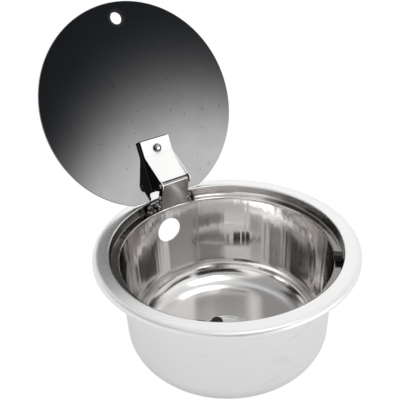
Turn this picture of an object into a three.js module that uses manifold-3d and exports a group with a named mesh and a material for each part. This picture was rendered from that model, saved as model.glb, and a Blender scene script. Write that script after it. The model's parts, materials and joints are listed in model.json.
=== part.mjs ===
// Round pressed-steel sink for a motorhome, with a glass lid on a folding link hinge.
// Millimetres, +Z up. X runs across the hinge, +Y points to the back, where the hinge is.
// The origin is the middle of the cut-out, level with the worktop that the rim seal rests on.
// The lid stands open. It shuts about X: the link folds by LINK_SWING, the lid by LID_SWING.

import * as THREE from "three";
import { mergeVertices } from "three/addons/utils/BufferGeometryUtils.js";
import Module from "manifold-3d";

const wasm = await Module();
wasm.setup();

// ---------- driving dimensions ----------

const GAUGE = 1; // sheet of the bowl
const PLATE = 1.5; // sheet of the hinge stampings
const GAP = 0.3; // between pieces that touch
const FIT = 0.3; // round a pin or a screw in its hole
const SLIDE = 0.3; // between hinge cheeks that turn past each other

const MOUTH_RADIUS = 171; // inside the rim, where the lid drops in
const MOUTH_BEND = 2.4;
const RIM_WIDTH = 24;
const RIM_RADIUS = MOUTH_RADIUS + RIM_WIDTH;
const LIP_HEIGHT = 7;
const LIP_BEND = 4;
const RECESS_DEPTH = 16; // rim to the ledge that carries the lid
const RECESS_DRAFT = 1;
const LEDGE_WIDTH = 13.5;
const LEDGE_BEND = 2.5;
const WALL_RADIUS = MOUTH_RADIUS - LEDGE_WIDTH; // top of the wall, under the ledge
const WALL_DRAFT = 2.5; // how much the wall closes in on its way down
const BOWL_DEPTH = 181.5; // rim to the edge of the floor
const COVE_RADIUS = 45;
const FLOOR_FALL = 1.5; // from the cove to the waste

const WALL_HOLE_RADIUS = 21.75;
const WALL_HOLE_X = -8;
const WALL_HOLE_DROP = 58; // rim to its centre

const SEAL_INNER = MOUTH_RADIUS + 7;
const SEAL_WIDTH = 13;

const LID_CLEARANCE = 4; // all round the glass
const GLASS_RADIUS = MOUTH_RADIUS - LID_CLEARANCE;
const GLASS_THICK = 5;
const GLASS_EDGE = 0.6; // ground edge
const GLASS_CHORD = GLASS_RADIUS - 12; // from the lid's centre to its straight back edge
const FINGER_RADIUS = 10;
const FINGER_REACH = GLASS_RADIUS - 25.5; // from the lid's centre to the finger hole

const BUMPER_ANGLE = 134; // either side of the hinge
const BUMPER_LONG = 12; // along the ledge
const BUMPER_WIDE = 13; // across it
const BUMPER_BACK = 1.8; // from its outer side to the recess
const BUMPER_SOFT = 1.5; // its rounded edges

const PIN_RADIUS = 2;
const HEAD_RADIUS = PIN_RADIUS + 1.8;
const HEAD_THICK = 1.6;
const HEAD_ROUND = 0.7;
const PIN_TIP = 1; // beyond its groove
const GROOVE_RADIUS = PIN_RADIUS - 0.6;
const CLIP_RADIUS = PIN_RADIUS + 2.4;
const CLIP_THICK = 1;
const CLIP_EAR = 1.2; // radius of the holes beside its mouth
const CROSS_HEAD_RADIUS = PIN_RADIUS + 1.5;
const CROSS_HEAD_THICK = 1.4;

const LINK_SWING = 141; // degrees from open to shut
const LID_SWING = 115.6;
const BASE_PIN_Y = MOUTH_RADIUS - 20;
const BASE_PIN_Z = -2.65; // from the rim's top face
const ARM_PIN_REACH = BASE_PIN_Y - 18; // from the lid's centre
const ARM_PIN_DROP = 38; // under the glass

const ARM_HALF = 26; // half width over its cheeks
const ARM_LONG = 74.5; // arm pin to the arm's far end
const ARM_STAND = 10; // flat of the arm to the glass
const ARM_BEND_Y = -48; // where its face starts to slope
const ARM_BEND_RUN = 3; // either side of that
const ARM_EAR = 8;
const ARM_SHORT = 4.2; // how far its face stops short of the link's knuckle
const ARM_THROAT = 10; // height of the cheeks' upright back edge
const PAD_THICK = 1.2;
const SCREW_Y = -58.5; // from the arm pin

const NOTCH_HALF = ARM_HALF + 5; // glass cut away round the hinge
const NOTCH_REACH = ARM_PIN_REACH + 10; // from the lid's centre to the bottom of the notch

const LINK_BOSS = 5.5;
const LINK_BACK = 5.5; // cheek behind the line of the pins
const LINK_FACE_FOOT = 7.6; // face in front of that line, at its foot
const LINK_FOOT = 4.2; // how far the face reaches below the base pin
const LINK_CORNER = 4;
const LINK_NECK = 3; // cheeks to knuckle
const CROSS_PIN_UP = 17.5; // from the base pin
const CROSS_PIN_BACK = 1.1;

const BASE_HALF = 43;
const BASE_CLEARANCE = 3.2; // to the recess
const BASE_OUTER = MOUTH_RADIUS - RECESS_DRAFT - BASE_CLEARANCE;
const BASE_DEEP = 10.5;
const BASE_INNER = BASE_OUTER - BASE_DEEP; // radius of the foot's front edge
const BASE_DROP = 0.5; // rim's top face to the base's top
const BASE_EAR = 5.5;
const BASE_EAR_BACK = 3; // ear to the outside of the rear wall
const BASE_EAR_SLOPE = 50; // degrees, of the ear's front edge
const BASE_LIP = 3.2; // width of its top edge
const TOE_REACH = 9.8; // base pin to the toe that stops the link
const TOE_ANGLE = -59.4; // degrees, from level at the back
const TAB_LONG = 4; // inwards from the ear
const TAB_WIDE = 3.1;
const FIXING_X = [30, 37.5];

const SCREW_RADIUS = 1.5;
const PAN_RADIUS = 2.7;
const PAN_THICK = 2;
const NUT_ACROSS = 5.5;
const NUT_THICK = 2.4;
const SCREW_PROUD = 1.5; // below its nut

const BOLT_RADIUS = 2.9;
const BOLT_ACROSS = 10;
const BOLT_HEAD = 3.6;
const WASHER_RADIUS = 7.5;
const WASHER_THICK = 1;
const SPACER_RADIUS = 6;
const BUSH_WALL = 1.4;
const GLASS_WASHER_RADIUS = 9;
const GLASS_WASHER_THICK = 1.5;
const DOME_ACROSS = 10;
const DOME_HEX = 4; // height of its flats
const DOME_TALL = 9;
const DOME_WALL = 1.6;

const WASTE_RADIUS = 42;
const WASTE_HOLE = WASTE_RADIUS - 4.5; // hole in the floor
const RECESS_STEP = 3;
const FLANGE_THICK = 1.5;
const FLANGE_BEAD = 0.9; // its rim over its floor
const SEAL = 1.5;
const PLUG_OFFSET = WASTE_HOLE - 8.5;
const PLUG_HOLE = 7.5;
const PLUG_HEAD = 10;
const PLUG_TALL = 11;
const PLUG_STEM = 3; // below the flange
const WASTE_SCREW_HEAD = 5.2;
const CUP_DEEP = 16;
const CUP_WALL = 2;
const CUP_BOSS = 8;
const SPIGOT_RADIUS = 10;
const SPIGOT_BORE = 8;
const SPIGOT_LONG = 32;
const SPIGOT_OFFSET = 18;
const BARB = 0.8;
const BARB_PITCH = 7;

const ROUND = 52; // facets round the bowl
const MIDDLE = 28; // round the waste
const SMALL = 14; // round a pin
const TINY = 10; // round a screw
const ARC_PIECES = 3; // in each bend of a sheet

const THROUGH = 1; // how far a cutting tool runs past the piece

const RAD = Math.PI / 180;

// ---------- solids ----------

// A closed geometry becomes a solid, turned the right way out.
function solid(geometry) {
  const bare = geometry.index ? geometry.toNonIndexed() : geometry.clone();
  bare.deleteAttribute("normal");
  bare.deleteAttribute("uv");
  const merged = mergeVertices(bare, 1e-4);
  const build = (triVerts) =>
    new wasm.Manifold(
      new wasm.Mesh({ numProp: 3, vertProperties: merged.attributes.position.array, triVerts }),
    );
  const faces = new Uint32Array(merged.index.array);
  const made = build(faces);
  return made.volume() > 0 ? made : build(faces.toReversed());
}

const join = (...solids) => solids.reduce((a, b) => a.add(b));
const cut = (body, ...tools) => tools.reduce((a, b) => a.subtract(b), body);

const finishes = {};
function finish(name, color, roughness, metalness, opacity = 1) {
  finishes[name] = { color, roughness, metalness, opacity, transparent: opacity < 1 };
}
finish("bowl_steel", 0xc9c7c3, 0.18, 1);
finish("hinge_steel", 0xd2d2d0, 0.14, 1);
finish("fastener", 0xb8b9bb, 0.25, 1);
finish("glass", 0x0b0d0f, 0.04, 0, 0.92);
finish("rubber", 0x131313, 0.75, 0);
finish("nylon", 0xd8d6cf, 0.5, 0);
finish("plastic", 0x1b1b1c, 0.45, 0);

// A solid becomes a named mesh.
function piece(name, finishName, body) {
  const { vertProperties, triVerts } = body.getMesh();
  const geometry = new THREE.BufferGeometry();
  geometry.setAttribute("position", new THREE.BufferAttribute(vertProperties, 3));
  geometry.setIndex(new THREE.BufferAttribute(triVerts, 1));
  geometry.computeVertexNormals();
  const mesh = new THREE.Mesh(geometry, new THREE.MeshStandardMaterial(finishes[finishName]));
  mesh.name = name;
  return mesh;
}

// The same solid moved along the axes.
const moved = (body, x, y, z) => body.translate([x, y, z]);

// A profile of radius and height, turned about Z.
function turned(points, facets = SMALL) {
  const closed = [...points, points[0]].map(([r, z]) => new THREE.Vector2(r, z));
  return solid(new THREE.LatheGeometry(closed, facets).rotateX(Math.PI / 2));
}

// The same along X: the profile is radius and distance from x = 0.
function turnedAlongX(points, facets = SMALL) {
  const closed = [...points, points[0]].map(([r, x]) => new THREE.Vector2(r, x));
  return solid(new THREE.LatheGeometry(closed, facets).rotateZ(-Math.PI / 2));
}

const rod = (radius, from, to, facets = SMALL) =>
  turned([[0, from], [radius, from], [radius, to], [0, to]], facets);
const tube = (inner, outer, from, to, facets = SMALL) =>
  turned([[inner, from], [outer, from], [outer, to], [inner, to]], facets);
const rodAlongX = (radius, from, to, facets = SMALL) =>
  turnedAlongX([[0, from], [radius, from], [radius, to], [0, to]], facets);

function block(x0, x1, y0, y1, z0, z1) {
  const box = new THREE.BoxGeometry(x1 - x0, y1 - y0, z1 - z0);
  return solid(box.translate((x0 + x1) / 2, (y0 + y1) / 2, (z0 + z1) / 2));
}

// An outline drawn in Y and Z, made a plate from x0 to x1.
const SIDEWAYS = new THREE.Matrix4().makeBasis(
  new THREE.Vector3(0, 1, 0),
  new THREE.Vector3(0, 0, 1),
  new THREE.Vector3(1, 0, 0),
);
function sidePlate(shape, x0, x1) {
  const options = { depth: x1 - x0, bevelEnabled: false, curveSegments: 10 };
  const plate = new THREE.ExtrudeGeometry(shape, options);
  return solid(plate.applyMatrix4(SIDEWAYS).translate(x0, 0, 0));
}

// The two like plates of a channel, each side of the middle.
const cheeks = (shape, inner, outer) =>
  join(sidePlate(shape, inner, outer), sidePlate(shape, -outer, -inner));

const polygon = (points) => new THREE.Shape(points.map(([x, y]) => new THREE.Vector2(x, y)));

// The section of a bent sheet: its face, seen on the right of the line, and its back a gauge behind.
function sheetSection(line, gauge) {
  const face = line.getPoints(ARC_PIECES / 2).filter((p, i, all) => !i || p.distanceTo(all[i - 1]) > 1e-6);
  const back = face.map((p, i) => {
    const before = p.clone().sub(face[Math.max(i - 1, 0)]).normalize();
    const after = face[Math.min(i + 1, face.length - 1)].clone().sub(p).normalize();
    const along = before.clone().add(after).normalize();
    const sharpness = i && i < face.length - 1 ? along.dot(after) : 1;
    return new THREE.Vector2(-along.y, along.x).multiplyScalar(gauge / sharpness).add(p);
  });
  return [...face, ...back.reverse()].map((p) => [p.x, p.y]);
}

// A flat ring between two radii, kept where it lies within half a width of X = 0 at the back.
function backSector(inner, outer, half, from, to) {
  return tube(inner, outer, from, to, ROUND).intersect(block(-half, half, 0, outer, from, to));
}

// ---------- bowl ----------

const mouthFoot = MOUTH_RADIUS - RECESS_DRAFT;
const wallFoot = WALL_RADIUS - WALL_DRAFT;
const seatTop = BOWL_DEPTH + FLOOR_FALL; // depth of the floor at the waste
const seatDepth = seatTop + RECESS_STEP; // depth of the recess that holds the waste
const seatRadius = WASTE_RADIUS + 1;

function bowlLine() {
  const line = new THREE.Path();
  line.moveTo(RIM_RADIUS, -LIP_HEIGHT);
  line.lineTo(RIM_RADIUS, -LIP_BEND);
  line.absarc(RIM_RADIUS - LIP_BEND, -LIP_BEND, LIP_BEND, 0, Math.PI / 2);
  line.lineTo(MOUTH_RADIUS + MOUTH_BEND, 0);
  line.absarc(MOUTH_RADIUS + MOUTH_BEND, -MOUTH_BEND, MOUTH_BEND, Math.PI / 2, Math.PI);
  line.lineTo(mouthFoot, LEDGE_BEND - RECESS_DEPTH);
  line.absarc(mouthFoot - LEDGE_BEND, LEDGE_BEND - RECESS_DEPTH, LEDGE_BEND, 0, -Math.PI / 2, true);
  line.lineTo(WALL_RADIUS + LEDGE_BEND, -RECESS_DEPTH);
  line.absarc(
    WALL_RADIUS + LEDGE_BEND, -RECESS_DEPTH - LEDGE_BEND, LEDGE_BEND, Math.PI / 2, Math.PI);
  line.lineTo(wallFoot, COVE_RADIUS - BOWL_DEPTH);
  const cove = Math.PI / 4; // two short arcs give the large bend twice the facets
  line.absarc(wallFoot - COVE_RADIUS, COVE_RADIUS - BOWL_DEPTH, COVE_RADIUS, 0, -cove, true);
  line.absarc(
    wallFoot - COVE_RADIUS, COVE_RADIUS - BOWL_DEPTH, COVE_RADIUS, -cove, -2 * cove, true);
  line.lineTo(seatRadius + RECESS_STEP, -seatTop);
  line.lineTo(seatRadius, -seatDepth);
  line.lineTo(WASTE_HOLE, -seatDepth);
  return line;
}

const fixingRadius = BASE_OUTER - PLATE - PAN_RADIUS - 2 * GAP;
const fixings = [];
for (const side of [-1, 1]) {
  for (const x of FIXING_X) {
    fixings.push([side * x, Math.sqrt(fixingRadius ** 2 - x ** 2)]);
  }
}
const fixingHoles = (radius, from, to) =>
  join(...fixings.map(([x, y]) => moved(rod(radius, from, to, TINY), x, y, 0)));

const ledgeUnder = -RECESS_DEPTH - GAUGE;
const wallHole = moved(
  solid(new THREE.CylinderGeometry(WALL_HOLE_RADIUS, WALL_HOLE_RADIUS, RIM_RADIUS, MIDDLE)),
  WALL_HOLE_X, RIM_RADIUS, -WALL_HOLE_DROP);

const bowl = cut(
  turned(sheetSection(bowlLine(), GAUGE), ROUND),
  wallHole,
  fixingHoles(SCREW_RADIUS + FIT, ledgeUnder - THROUGH, THROUGH - RECESS_DEPTH),
);

const rimSeal = tube(
  SEAL_INNER, SEAL_INNER + SEAL_WIDTH, -LIP_HEIGHT, -GAUGE - GAP, ROUND);

// A rubber block on the ledge, soft at its edges, just under the shut lid.
const lidSeat = -GLASS_THICK; // underside of the shut glass
function bumper(side) {
  const low = GAP - RECESS_DEPTH;
  const half = BUMPER_LONG / 2 - BUMPER_SOFT;
  const wide = BUMPER_WIDE / 2 - BUMPER_SOFT;
  const block = new THREE.ExtrudeGeometry(
    polygon([[-half, -wide], [half, -wide], [half, wide], [-half, wide]]),
    {
      depth: lidSeat - GAP - low - 2 * BUMPER_SOFT,
      bevelThickness: BUMPER_SOFT,
      bevelSize: BUMPER_SOFT,
      bevelSegments: 2,
    },
  );
  block.translate(0, mouthFoot - BUMPER_BACK - BUMPER_WIDE / 2, low + BUMPER_SOFT);
  return solid(block.rotateZ(side * BUMPER_ANGLE * RAD));
}

// ---------- folding hinge ----------

const shutArm = new THREE.Vector2(ARM_PIN_REACH, lidSeat - ARM_PIN_DROP);
const basePin = new THREE.Vector2(BASE_PIN_Y, BASE_PIN_Z);
const openArm = shutArm.clone().rotateAround(basePin, -LINK_SWING * RAD);
const linkLength = shutArm.distanceTo(basePin);
const linkLean = openArm.clone().sub(basePin).angle() - Math.PI / 2;

const armInner = ARM_HALF - PLATE;
const linkHalf = armInner - SLIDE;
const linkInner = linkHalf - PLATE;
const baseInner = linkHalf + SLIDE;
const baseOuter = baseInner + PLATE;
const pinHole = PIN_RADIUS + FIT;

// A pin from its head on the left to the groove for its clip on the right.
function headedPin(half) {
  const headFace = -half - GAP;
  const groove = half + GAP / 2;
  const grooveEnd = groove + CLIP_THICK + GAP;
  const tip = grooveEnd + PIN_TIP;
  return turnedAlongX([
    [0, headFace - HEAD_THICK],
    [HEAD_RADIUS - HEAD_ROUND, headFace - HEAD_THICK],
    [HEAD_RADIUS, headFace - HEAD_THICK + HEAD_ROUND],
    [HEAD_RADIUS, headFace],
    [PIN_RADIUS, headFace],
    [PIN_RADIUS, groove],
    [GROOVE_RADIUS, groove],
    [GROOVE_RADIUS, grooveEnd],
    [PIN_RADIUS, grooveEnd],
    [PIN_RADIUS - PIN_TIP / 2, tip],
    [0, tip],
  ]);
}

// The open ring that snaps into the groove.
function clip(half) {
  const from = half + GAP;
  const to = from + CLIP_THICK;
  const inner = GROOVE_RADIUS + GAP;
  const ring = turnedAlongX([[inner, from], [CLIP_RADIUS, from], [CLIP_RADIUS, to], [inner, to]]);
  const relief = rodAlongX(CLIP_EAR, from - THROUGH, to + THROUGH, TINY);
  const reliefs = [-1, 1].map((side) => moved(relief, 0, side * (inner + CLIP_EAR / 2), CLIP_EAR / 2));
  const mouth = block(from - THROUGH, to + THROUGH, -inner, inner, -CLIP_RADIUS - THROUGH, 0);
  return cut(ring, mouth, ...reliefs);
}

// Base: a stamping that stands on the ledge inside the recess, with two ears for the link.
const footLow = GAP - RECESS_DEPTH;
const footTop = footLow + PLATE;
const baseTop = -BASE_DROP;

function baseEar() {
  const { x: y, y: z } = basePin;
  const back = BASE_OUTER - BASE_EAR_BACK;
  const slope = BASE_EAR_SLOPE * RAD; // the ear's front runs up from the foot and into its round end
  const ear = new THREE.Shape();
  ear.moveTo(BASE_INNER - PLATE, footLow + PLATE / 2);
  ear.absarc(y, z, BASE_EAR, Math.PI + slope, Math.PI / 2, true);
  ear.lineTo((y + back) / 2 + PLATE, z + BASE_EAR);
  ear.lineTo(back, baseTop);
  ear.lineTo(back, footLow + PLATE / 2);
  ear.holes.push(new THREE.Path().absarc(y, z, pinHole, 0, 2 * Math.PI));
  return ear;
}

// Tabs bent in from the ears: the link's toes land on them when the lid is open.
const toeAngle = TOE_ANGLE * RAD;
const toeY = BASE_PIN_Y + TOE_REACH * Math.cos(toeAngle);
const toeZ = BASE_PIN_Z + TOE_REACH * Math.sin(toeAngle);
const stopTab = (side) => {
  const x = [side * (baseInner - TAB_LONG), side * (baseInner + PLATE / 2)].sort((a, b) => a - b);
  const top = toeZ - 1.4 * GAP;
  return block(...x, toeY - 2 * GAP, toeY - 2 * GAP + TAB_WIDE, top - PLATE, top);
};

function hingeBase() {
  const foot = backSector(BASE_INNER, BASE_OUTER, BASE_HALF, footLow, footTop);
  const rear = backSector(BASE_OUTER - PLATE, BASE_OUTER, BASE_HALF, footLow, baseTop);
  const top = backSector(BASE_OUTER - BASE_LIP, BASE_OUTER, BASE_HALF, baseTop - PLATE, baseTop);
  const ends = backSector(BASE_INNER, BASE_OUTER, BASE_HALF, footLow, baseTop);
  const between = BASE_HALF - PLATE;
  const half = BASE_HALF + THROUGH;
  const underGlass = block(-half, half, 0, GLASS_CHORD + 2 * GAP, lidSeat - 2 * GAP, baseTop + THROUGH);
  return cut(
    join(
      foot,
      rear,
      top,
      cut(ends, block(-between, between, 0, RIM_RADIUS, footLow - THROUGH, 0), underGlass),
      cheeks(baseEar(), baseInner, baseOuter),
      stopTab(-1),
      stopTab(1),
    ),
    fixingHoles(SCREW_RADIUS + FIT, footLow - THROUGH, footTop + THROUGH),
    block(
      THROUGH - baseInner, baseInner - THROUGH, BASE_INNER - THROUGH, BASE_OUTER - BASE_LIP,
      footLow - THROUGH, footTop + THROUGH),
  );
}

function panScrew() {
  const seat = footTop + GAP;
  const tip = ledgeUnder - 2 * GAP - PLATE - NUT_THICK - SCREW_PROUD;
  return turned(
    [
      [0, tip], [SCREW_RADIUS, tip], [SCREW_RADIUS, seat], [PAN_RADIUS, seat],
      [PAN_RADIUS, seat + PAN_THICK / 2], [PAN_RADIUS * 0.7, seat + PAN_THICK], [0, seat + PAN_THICK],
    ],
    TINY,
  );
}

function hexNut(across, bore, from, to) {
  const corner = across / Math.sqrt(3);
  const nut = solid(new THREE.CylinderGeometry(corner, corner, to - from, 6).rotateX(Math.PI / 2));
  return cut(moved(nut, 0, 0, (from + to) / 2), rod(bore, from - THROUGH, to + THROUGH, TINY));
}

const backingTop = ledgeUnder - GAP;
const backing = cut(
  backSector(WALL_RADIUS + LEDGE_BEND, mouthFoot - LEDGE_BEND, BASE_HALF, backingTop - PLATE, backingTop),
  fixingHoles(SCREW_RADIUS + FIT, backingTop - PLATE - THROUGH, backingTop + THROUGH),
);

// Link, drawn upright from the base pin at the origin to the arm pin above it. Its face rolls
// over the arm pin in one full-width knuckle, and its two cheeks turn on the base pin.
const knuckle = pinHole + PLATE;

function linkFaceLine() {
  const foot = new THREE.Vector2(PLATE - LINK_FACE_FOOT, -LINK_FOOT);
  const toPin = new THREE.Vector2(0, linkLength).sub(foot);
  const rise = toPin.angle() + Math.asin(pinHole / toPin.length());
  const quarter = Math.PI / 2; // the roll is three of these
  const line = new THREE.Path();
  line.moveTo(foot.x, foot.y);
  line.lineTo(
    pinHole * Math.cos(rise + quarter), linkLength + pinHole * Math.sin(rise + quarter));
  for (const n of [0, 1, 2]) {
    const from = rise + quarter - n * quarter;
    line.absarc(0, linkLength, pinHole, from, from - quarter, true);
  }
  return line;
}

function linkCheek() {
  const toe = toeAngle - linkLean;
  const heel = [TOE_REACH * Math.cos(toe), TOE_REACH * Math.sin(toe)];
  const shoulder = linkLength - knuckle - LINK_NECK;
  const cheek = new THREE.Shape();
  cheek.moveTo(-LINK_FACE_FOOT + PLATE / 2, -LINK_FOOT);
  cheek.lineTo(-LINK_FOOT * GAP, -LINK_BOSS - 2 * GAP);
  cheek.lineTo(heel[0] - PLATE, heel[1]);
  cheek.lineTo(...heel);
  cheek.absarc(0, 0, LINK_BOSS + GAP, -35 * RAD, 0, false);
  cheek.lineTo(LINK_BACK, shoulder - LINK_CORNER);
  cheek.quadraticCurveTo(LINK_BACK, shoulder, LINK_BACK - LINK_CORNER, shoulder);
  cheek.lineTo(-pinHole - PLATE / 2, shoulder + LINK_NECK - GAP);
  for (const [y, z] of [[0, 0], [CROSS_PIN_BACK, CROSS_PIN_UP]]) {
    cheek.holes.push(new THREE.Path().absarc(y, z, pinHole, 0, 2 * Math.PI));
  }
  return cheek;
}

const hingeLink = () =>
  join(
    sidePlate(polygon(sheetSection(linkFaceLine(), PLATE)), -linkHalf, linkHalf),
    cheeks(linkCheek(), linkInner, linkHalf),
  );

// Plain pin riveted over outside both cheeks of the link.
function rivetedPin() {
  const face = linkHalf + GAP;
  const end = face + CROSS_HEAD_THICK;
  const head = CROSS_HEAD_RADIUS;
  return turnedAlongX([
    [0, -end], [head - HEAD_ROUND, -end], [head, HEAD_ROUND - end], [head, -face], [PIN_RADIUS, -face],
    [PIN_RADIUS, face], [head, face], [head, end - HEAD_ROUND], [head - HEAD_ROUND, end], [0, end],
  ]);
}

// Arm, drawn with the lid shut, from the arm pin at the origin; the glass is above it.
const glassUnder = ARM_PIN_DROP;
const armFoot = glassUnder - PAD_THICK - 2 * GAP;
const armFace = glassUnder - ARM_STAND;
const notchEdge = NOTCH_REACH - ARM_PIN_REACH;

// Where the link's cross pin comes to lie when the lid is shut.
const crossPin = new THREE.Vector2(CROSS_PIN_BACK, CROSS_PIN_UP - linkLength)
  .rotateAround(new THREE.Vector2(), linkLean + LINK_SWING * RAD);

// The sloping part of the face heads for the underside of the knuckle and stops short of it.
const slopeRun = Math.hypot(ARM_BEND_Y, armFace);
const slope = Math.atan2(-armFace, -ARM_BEND_Y) - Math.asin(knuckle / slopeRun);
const touch = slope - Math.PI / 2; // where it would touch, seen from the pin

function armFaceLine() {
  const along = (distance) =>
    new THREE.Vector2(distance, 0).rotateAround(new THREE.Vector2(), slope);
  const bend = new THREE.Vector2(ARM_BEND_Y, armFace);
  const end = along(-ARM_SHORT).add(new THREE.Vector2(knuckle * Math.cos(touch), knuckle * Math.sin(touch)));
  const after = along(ARM_BEND_RUN).add(bend);
  const line = new THREE.Path();
  line.moveTo(-ARM_LONG, armFace);
  line.lineTo(bend.x - ARM_BEND_RUN, bend.y);
  line.quadraticCurveTo(bend.x, bend.y, after.x, after.y);
  line.lineTo(end.x, end.y);
  return line;
}

function armCheek() {
  const cheek = new THREE.Shape();
  cheek.moveTo(-ARM_LONG, armFoot);
  cheek.lineTo(-ARM_LONG, armFace);
  cheek.lineTo(ARM_BEND_Y, armFace);
  cheek.absarc(0, 0, ARM_EAR, touch - 0.5, 0, false);
  cheek.lineTo(ARM_EAR, armFoot - ARM_THROAT);
  cheek.lineTo(notchEdge - 1, armFoot);
  cheek.holes.push(new THREE.Path().absarc(0, 0, pinHole, 0, 2 * Math.PI));
  return cheek;
}

const boltHole = BOLT_RADIUS + FIT;
const atBolt = (body) => moved(body, 0, SCREW_Y, 0);

function hingeArm() {
  return cut(
    join(
      sidePlate(polygon(sheetSection(armFaceLine(), PLATE)), -ARM_HALF, ARM_HALF),
      cheeks(armCheek(), armInner, ARM_HALF),
    ),
    rodAlongX(pinHole, -ARM_HALF - THROUGH, ARM_HALF + THROUGH),
    moved(
      rodAlongX(CROSS_HEAD_RADIUS + 2 * SLIDE, -ARM_HALF - THROUGH, ARM_HALF + THROUGH),
      0, crossPin.x, crossPin.y),
    atBolt(rod(boltHole, armFace - THROUGH, armFace + PLATE + THROUGH)),
  );
}

const pad = cut(
  block(-ARM_HALF - 1, ARM_HALF + 1, -ARM_LONG - 1, notchEdge - 1, armFoot + GAP, glassUnder - GAP),
  atBolt(rod(SPACER_RADIUS + FIT, armFoot, glassUnder)),
);
const spacer = tube(boltHole, SPACER_RADIUS, armFace + PLATE + GAP, glassUnder - GAP);
const glassTop = glassUnder + GLASS_THICK;
const bush = tube(boltHole, boltHole + BUSH_WALL, glassUnder + GAP / 3, glassTop - GAP / 3);
const faceWasher = tube(boltHole, WASHER_RADIUS, armFace - GAP - WASHER_THICK, armFace - GAP);
const glassWasher = tube(
  boltHole, GLASS_WASHER_RADIUS, glassTop + GAP, glassTop + GAP + GLASS_WASHER_THICK);
const domeLow = glassTop + 2 * GAP + GLASS_WASHER_THICK;

function bolt() {
  const seat = armFace - 2 * GAP - WASHER_THICK;
  const corner = BOLT_ACROSS / Math.sqrt(3);
  const head = solid(new THREE.CylinderGeometry(corner, corner, BOLT_HEAD, 6).rotateX(Math.PI / 2));
  return join(moved(head, 0, 0, seat - BOLT_HEAD / 2), rod(BOLT_RADIUS, seat - GAP, domeLow + DOME_HEX));
}

function domeNut() {
  const hexTop = domeLow + DOME_HEX;
  const top = domeLow + DOME_TALL;
  const outer = DOME_ACROSS / 2 - GAP;
  return join(
    hexNut(DOME_ACROSS, boltHole, domeLow, hexTop),
    turned([
      [boltHole, hexTop - GAP], [outer, hexTop - GAP], [outer * 0.95, (hexTop + top) / 2],
      [outer * 0.6, top - HEAD_ROUND], [0, top], [0, top - DOME_WALL], [boltHole, top - DOME_WALL - 1],
    ]),
  );
}

function lidGlass() {
  const centre = -ARM_PIN_REACH;
  const reach = GLASS_RADIUS - GLASS_EDGE;
  const chord = GLASS_CHORD - GLASS_EDGE;
  const start = Math.asin(chord / reach);
  const half = NOTCH_HALF + GLASS_EDGE;
  const notch = centre + NOTCH_REACH - GLASS_EDGE;
  const outline = new THREE.Shape();
  outline.moveTo(half, notch);
  outline.lineTo(-half, notch);
  outline.lineTo(-half, centre + chord);
  const quarter = (Math.PI + 2 * start) / 4;
  for (const n of [0, 1, 2, 3]) {
    const from = Math.PI - start + n * quarter;
    outline.absarc(0, centre, reach, from, from + quarter);
  }
  outline.lineTo(half, centre + chord);
  const holes = [
    [centre - FINGER_REACH, FINGER_RADIUS + GLASS_EDGE],
    [SCREW_Y, boltHole + BUSH_WALL + GAP + GLASS_EDGE],
  ];
  for (const [y, radius] of holes) {
    outline.holes.push(new THREE.Path().absarc(0, y, radius, 0, 2 * Math.PI));
  }
  const glass = new THREE.ExtrudeGeometry(outline, {
    depth: GLASS_THICK - 2 * GLASS_EDGE,
    bevelThickness: GLASS_EDGE,
    bevelSize: GLASS_EDGE,
    bevelSegments: 1,
    curveSegments: 12,
  });
  return solid(glass.translate(0, 0, glassUnder + GLASS_EDGE));
}

// ---------- waste ----------

const flangeLow = -seatDepth + SEAL + 2 * GAP;
const flangeTop = flangeLow + FLANGE_THICK;
const floorUnder = -seatDepth - GAUGE;
const cupTop = floorUnder - SEAL - 2 * GAP;
const cupLow = cupTop - CUP_DEEP;
const wasteSealTop = -seatDepth + GAP + SEAL;

// Dished flange with a rounded rim, a bore for the plug and a hole for its screw.
function wasteFlange() {
  const dish = turned(
    [
      [boltHole, flangeLow - 2 * GAP], [WASTE_HOLE - 4, flangeLow - 2 * GAP],
      [WASTE_HOLE - 2, flangeLow], [WASTE_RADIUS, flangeLow], [WASTE_RADIUS, flangeTop],
      [WASTE_RADIUS - FLANGE_BEAD, flangeTop + FLANGE_BEAD],
      [WASTE_RADIUS - 2 * FLANGE_BEAD, flangeTop + FLANGE_BEAD],
      [WASTE_RADIUS - 3 * FLANGE_BEAD, flangeTop], [boltHole, flangeTop],
    ],
    MIDDLE,
  );
  const bore = rod(PLUG_HOLE, flangeLow - THROUGH, flangeTop + THROUGH);
  return cut(dish, moved(bore, 0, PLUG_OFFSET, 0));
}

function wasteScrew() {
  const seat = flangeTop + GAP;
  const tip = cupLow + CUP_WALL;
  return turned([
    [0, tip], [BOLT_RADIUS, tip], [BOLT_RADIUS, seat], [WASTE_SCREW_HEAD, seat],
    [WASTE_SCREW_HEAD - HEAD_ROUND, seat + HEAD_THICK], [0, seat + HEAD_THICK + HEAD_ROUND],
  ]);
}

function drainPlug() {
  const seat = flangeTop + GAP;
  const stem = PLUG_HOLE - FIT;
  const top = seat + PLUG_TALL;
  const body = turned([
    [0, flangeLow - PLUG_STEM], [stem * 0.85, flangeLow - PLUG_STEM], [stem, flangeTop - GAP],
    [stem, seat], [PLUG_HEAD, seat], [PLUG_HEAD, (seat + top) / 2],
    [PLUG_HEAD * 0.9, top - PLUG_TALL / 4], [PLUG_HEAD * 0.7, top - GAP], [0, top],
  ]);
  return moved(body, 0, PLUG_OFFSET, 0);
}

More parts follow.
